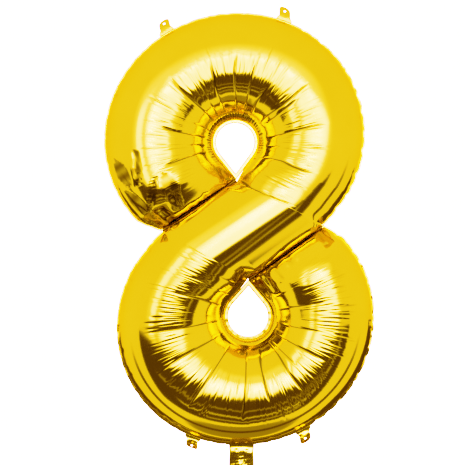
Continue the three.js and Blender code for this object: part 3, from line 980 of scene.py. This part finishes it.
seam_grids = [(outer_flange(seam), False, False, True) for seam in (UPPER_SEAM, LOWER_SEAM)]
seam_painted_shade = [np.zeros(grid[0].shape[:2]) for grid in seam_grids]
for loop in (UPPER, LOWER):
    ring, strip = hole_flange(loop), slit_weld(loop)
    seam_grids += [(ring, True, True, True), (strip, False, False, True)]
    # the slits' welds are painted dark all over: painted shade in the narrow gap between the pressed tubes
    seam_painted_shade += [np.zeros(ring.shape[:2]), np.ones(strip.shape[:2])]
seam_piece = foil_mesh("welded_seam_foil", *seam_grids)
keep_painted_shade(seam_piece, np.concatenate([fold.ravel() for fold in seam_painted_shade]))
seam_piece.data.materials.append(seam_foil)
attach(seam_piece, "envelope")
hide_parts("welded_seam")

# ---------- the tabs ----------

TAB_OVERLAP = 4  # the root lies this far over the seam, where the tab is cut from the same foil
TAB_FOIL_HALF = 0.35
TAB_RAYS = 144
TAB_RINGS = 15
TAB_CRUMPLE = 7  # how far apart a tab's crumples lie


def tab_outline(lean):
    """The edge of a tab from its fold line, with the middle of its punched hole."""
    slant = np.tan(lean * DEG)
    root, half, root_half = TAB_FOLD_GAP / 2, TAB_WIDTH / 2, TAB_ROOT_WIDTH / 2
    flare_top = root + (TAB_ROOT_WIDTH - TAB_WIDTH) / 2
    tip = polar(np.linspace(0, 180, 25), half) + (0, TAB_LENGTH - half)
    bottom = [(-root_half, -TAB_OVERLAP), (root_half, -TAB_OVERLAP)]
    right, left = [(root_half, root), (half, flare_top)], [(-half, flare_top), (-root_half, root)]
    outline = np.array([*bottom, *right, *tip, *left])
    outline[:, 0] += slant * np.maximum(outline[:, 1] - root, 0)
    hole_z = TAB_LENGTH - TAB_HOLE_FROM_TIP
    return outline, np.array([slant * (hole_z - root), hole_z])


def tab_points(lean, curl, folds, rng):
    """A tab in its own axes, as rings from its punched hole to its edge, front face then back."""
    outline, hole = tab_outline(lean)
    rays = np.linspace(0, 360, TAB_RAYS + 1)[:-1]
    closed = np.concatenate([outline, outline[:1]])
    steps = np.linspace(0, 1, 40)[:-1, None]
    fine = np.concatenate([mix(p, q, steps) for p, q in zip(closed[:-1], closed[1:])])
    seen = angle_of(fine - hole) % 360
    order = np.argsort(seen)
    edge = np.stack([np.interp(rays, seen[order], fine[order, k], period=360) for k in (0, 1)], 1)
    start = hole + polar(rays, TAB_HOLE_RADIUS)
    p = mix(start[:, None], edge[:, None], np.linspace(0, 1, TAB_RINGS)[None, :, None])
    x, z = p[..., 0], p[..., 1]
    free = np.maximum(z, 0)
    bend = curl * DEG * (free / TAB_LENGTH)
    bent = np.abs(bend) > 1e-4
    divisor = np.where(bent, bend, 1)
    ahead = np.where(bent, np.sin(bend) / divisor, 1)
    aside = np.where(bent, (1 - np.cos(bend)) / divisor, 0)
    y = -free * aside + crumple(x, z, rng, TAB_CRUMPLE) * folds * smooth(z / 8)
    z = np.where(z > 0, free * ahead, z)
    front, back = np.stack([x, y - TAB_FOIL_HALF, z], -1), np.stack([x, y + TAB_FOIL_HALF, z], -1)
    return np.concatenate([front, back[:, ::-1]], axis=1)


for index, (name, loop, angle, lean, curl, folds) in enumerate(TABS):
    root, outwards = tab_places[name]
    local = tab_points(lean, curl, folds, np.random.default_rng(30 + index))
    ahead = polar(outwards, 1.0)
    right = polar(outwards - 90, 1.0)
    x, z = np.moveaxis(root + local[..., :1] * right + local[..., 2:] * ahead, -1, 0)
    tab = foil_mesh(f"{name}_foil", (np.stack([x, local[..., 1], z], -1), False, True, True))
    tab.data.materials.append(seam_foil)
    fold = np.array([root[0], 0, root[1]])
    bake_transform(tab)
    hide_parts(name)

# ---------- the filling tail ----------

TAIL_COLUMNS = 61
TAIL_ROWS = 111
TAIL_HALF_GAP = 0.75  # from the middle to each of the tail's two sheets, where they lie flat
TAIL_PUFF = 3.0  # how far the air left in the tail rounds each sheet
TAIL_CRUMPLES = ((1.5, 0.55, 8, 9), (0.5, 1.0, 4, 6))  # height, share of z, distance apart, waves
TAIL_DEEPEST = -2.2  # so that the sheets never meet


def tail_root():
    """The lowest point of the seam's edge over the width of the tail."""
    x = TAIL_X + TAIL_WIDTH * np.linspace(-0.5, 0.5, 9)
    angle = 90 + np.arctan2(x - LOWER["centre"][0], LOWER["short_radius"]) / DEG
    return from_loop(LOWER, polar(angle, outline_radius(LOWER, angle) + OUTER_FLANGE))[:, 1].min()


root_z = tail_root()
fold_z = root_z - TAIL_FOLD_GAP / 2
tail_end = fold_z - TAIL_FOLD_GAP / 2 - TAIL_LENGTH
for side, word in ((-1, "front"), (1, "back")):
    rng = np.random.default_rng(40 + side)
    a, b = np.meshgrid(np.linspace(-1, 1, TAIL_COLUMNS), np.linspace(0, 1, TAIL_ROWS))
    z = mix(root_z + OUTER_FLANGE, tail_end, b)
    x = TAIL_X + a * TAIL_WIDTH / 2
    free = smooth((root_z - z) / 14)
    folds = sum(high * crumple(x, z * part, rng, scale, waves) for high, part, scale, waves in TAIL_CRUMPLES)
    rounding = np.sqrt(np.maximum(1 - a * a, 0))
    y = side * (TAIL_HALF_GAP + free * rounding * (TAIL_PUFF + np.maximum(folds, TAIL_DEEPEST)))
    x = x - free * a * 1.2 * (0.5 + 0.5 * np.sin(z / 9))  # the sides aren't quite straight
    tail_piece = foil_mesh(f"tail_{word}_sheet", (np.stack([x, y, z], -1), side > 0, False, False))
    tail_piece.data.materials.append(seam_foil)
    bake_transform(tail_piece)
    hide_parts(f"tail_{word}_foil")

# ---------- the valve films, which show only through a torn or opened tail ----------

for name in ("valve_front_film", "valve_back_film", "valve_inlet_front_film", "valve_inlet_back_film"):
    bpy.data.objects[name].data.materials.clear()
    bpy.data.objects[name].data.materials.append(film)

# ---------- camera (in metres, as everything below) ----------

PICTURE_WIDTH = 0.9207  # of what the camera sees at the balloon
CAMERA_DISTANCE = 3.6
CAMERA_X = -0.0132
CAMERA_Z = 0.0311
SENSOR_MM = 36

camera_data = bpy.data.cameras.new("camera")
camera_data.sensor_width = SENSOR_MM
camera_data.lens = SENSOR_MM * CAMERA_DISTANCE / PICTURE_WIDTH
camera = in_scene("camera", camera_data)
camera.location = (CAMERA_X, -CAMERA_DISTANCE, CAMERA_Z)
camera.rotation_euler = (90 * DEG, 0, 0)
bpy.context.scene.camera = camera

# ---------- tone ----------

TONE_WHITE = 4.0  # the scene brightness that reaches full white
# Brightness in the scene and as shown, for red, green and blue: a bright reflection pales towards
# white and a dull one browns, as gold foil does on film.
TONES = (
    ((0.094, 0.093), (0.28, 0.254), (0.56, 0.49), (0.936, 0.847), (1.4, 0.925), (2.1, 0.95), (2.8, 0.97)),
    ((0.079, 0.037), (0.237, 0.135), (0.473, 0.31), (0.789, 0.590), (1.19, 0.72), (1.74, 0.82), (2.6, 0.90)),
    ((0.15, 0.003), (0.245, 0.006), (0.37, 0.07), (0.53, 0.28), (0.77, 0.50), (1.15, 0.80), (1.7, 0.95)),
)

view = bpy.context.scene.view_settings
view.view_transform = "Standard"
view.use_curve_mapping = True
view.curve_mapping.white_level = (TONE_WHITE,) * 3
view.curve_mapping.use_clip = True
for curve, tones in zip(view.curve_mapping.curves, TONES):
    for bright, shown in tones:
        curve.points.new(bright / TONE_WHITE, shown).handle_type = "AUTO_CLAMPED"
view.curve_mapping.update()

# ---------- the key light ----------

KEY_AT = Vector((0.1, -3.5, 0.9))
KEY_SIZE = (1.2, 0.6)
KEY_WATTS = 70

key = bpy.data.lights.new("key_softbox", "AREA")
key.shape = "RECTANGLE"
key.size, key.size_y = KEY_SIZE
key.energy = KEY_WATTS
lamp = in_scene("key_softbox", key)
lamp.location = KEY_AT
lamp.rotation_mode = "QUATERNION"
lamp.rotation_quaternion = (-KEY_AT).to_track_quat("-Z", "Y")
lamp.visible_camera = False

# ---------- the world: a white studio, duller underneath, with a dark line at the table's edge ----------

SURROUND = (1.17, 1.16, 1.14, 1)
UNDERSIDE = (0.50, 0.48, 0.43, 1)
TABLE_EDGE = (0.16, 0.13, 0.09, 1)

world = bpy.data.worlds.new("studio")
bpy.context.scene.world = world
world.use_nodes = True
tree = world.node_tree
direction = tree.nodes.new("ShaderNodeTexCoord")
axes = tree.nodes.new("ShaderNodeSeparateXYZ")
tree.links.new(direction.outputs["Generated"], axes.inputs["Vector"])
below = between(tree, axes.outputs["Z"], -1.5, -0.93, 0.06)
colour = layered(tree, SURROUND, UNDERSIDE, below)
edge_y = between(tree, axes.outputs["Y"], -0.10, -0.02, 0.05)
edge_z = between(tree, axes.outputs["Z"], -1.5, -0.55, 0.4)
colour = layered(tree, colour, TABLE_EDGE, product(tree, edge_y, edge_z))
tree.links.new(colour, tree.nodes["Background"].inputs["Color"])

# ---------- what stands near the balloon, and shows in its foil but not to the camera ----------

CARD_DISTANCE = 1.2
CARD_HALF = 3.2
# brightness, x from and to, z from and to, softness in x and z; each lies over those before it
CARDS = (
    ((1.75, 1.73, 1.68, 1), (-0.85, 0.5), (0.1, 0.75), (0.45, 0.45)),  # the wide white reflector
    ((3.9, 3.85, 3.8, 1), (-0.2, 0.45), (-0.15, 0.38), (0.3, 0.16)),  # its bright middle
    ((3.3, 3.25, 3.2, 1), (-0.80, -0.68), (-0.05, 0.45), (0.18, 0.3)),  # a bright strip on its left
    ((0.13, 0.115, 0.085, 1), (-1.9, 1.35), (-2.25, -0.36), (0.25, 0.10)),  # the dark table
    ((0.75, 0.73, 0.65, 1), (0.78, 0.84), (-2.0, -0.5), (0.06, 0.2)),  # bright edges down its right
    ((0.55, 0.53, 0.45, 1), (0.50, 0.53), (-1.8, -0.6), (0.04, 0.2)),
    ((1.0, 0.98, 0.9, 1), (-0.7, 0.75), (-1.34, -1.27), (0.2, 0.06)),  # bright edges across it
    ((0.55, 0.53, 0.45, 1), (-0.9, 0.5), (-0.86, -0.82), (0.2, 0.05)),
    ((0.7, 0.68, 0.6, 1), (-0.5, 0.9), (-1.85, -1.75), (0.2, 0.08)),
)

card_mesh = bpy.data.meshes.new("studio_card")
card_corners = [(x * CARD_HALF, 0, z * CARD_HALF) for x, z in ((-1, -1), (1, -1), (1, 1), (-1, 1))]
card_mesh.from_pydata(card_corners, [], [(0, 1, 2, 3)])
card_paint, card_light = glowing("studio_front_paint")
card_mesh.materials.append(card_paint)
tree = card_paint.node_tree
where = tree.nodes.new("ShaderNodeTexCoord")
axes = tree.nodes.new("ShaderNodeSeparateXYZ")
tree.links.new(where.outputs["Object"], axes.inputs["Vector"])
colour = SURROUND
for paint, (x0, x1), (z0, z1), (soft_x, soft_z) in CARDS:
    inside_x = between(tree, axes.outputs["X"], x0, x1, soft_x)
    inside_z = between(tree, axes.outputs["Z"], z0, z1, soft_z)
    colour = layered(tree, colour, paint, product(tree, inside_x, inside_z))
tree.links.new(colour, card_light.inputs["Color"])
for word, turn in (("front", 0), ("back", 180)):
    card = in_scene(f"studio_{word}", card_mesh)
    card.location = (0, -CARD_DISTANCE * np.cos(turn * DEG), 0)
    card.rotation_euler = (0, 0, turn * DEG)
    card.visible_camera = False
    card.visible_shadow = False

# ---------- floor and backdrop ----------

BACKDROP_RADIUS = 20
BACKDROP_GLOW = 6
FLOOR_RADIUS = 5
FLOOR_DROP = 1.25
FLOOR_GREY = (0.9, 0.9, 0.9, 1)
FLOOR_GLOW = 3.0

bpy.ops.mesh.primitive_uv_sphere_add(segments=64, ring_count=32, radius=BACKDROP_RADIUS)
backdrop = bpy.context.object
backdrop.name = "backdrop"
backdrop.data.materials.append(glowing("backdrop_white", BACKDROP_GLOW)[0])
for ray in ("diffuse", "glossy", "transmission", "volume_scatter", "shadow"):
    setattr(backdrop, f"visible_{ray}", False)

bpy.ops.mesh.primitive_circle_add(
    vertices=96, radius=FLOOR_RADIUS, fill_type="NGON", location=(0, 0, -FLOOR_DROP)
)
floor = bpy.context.object
floor.name = "floor"
pale = bpy.data.materials.new("floor_pale")
pale.use_nodes = True
pale_shader = pale.node_tree.nodes["Principled BSDF"]
pale_shader.inputs["Base Color"].default_value = FLOOR_GREY
pale_shader.inputs["Roughness"].default_value = 0.8
pale_shader.inputs["Emission Color"].default_value = (1, 1, 1, 1)
pale_shader.inputs["Emission Strength"].default_value = FLOOR_GLOW
floor.data.materials.append(pale)
floor.visible_glossy = False
floor.visible_diffuse = False
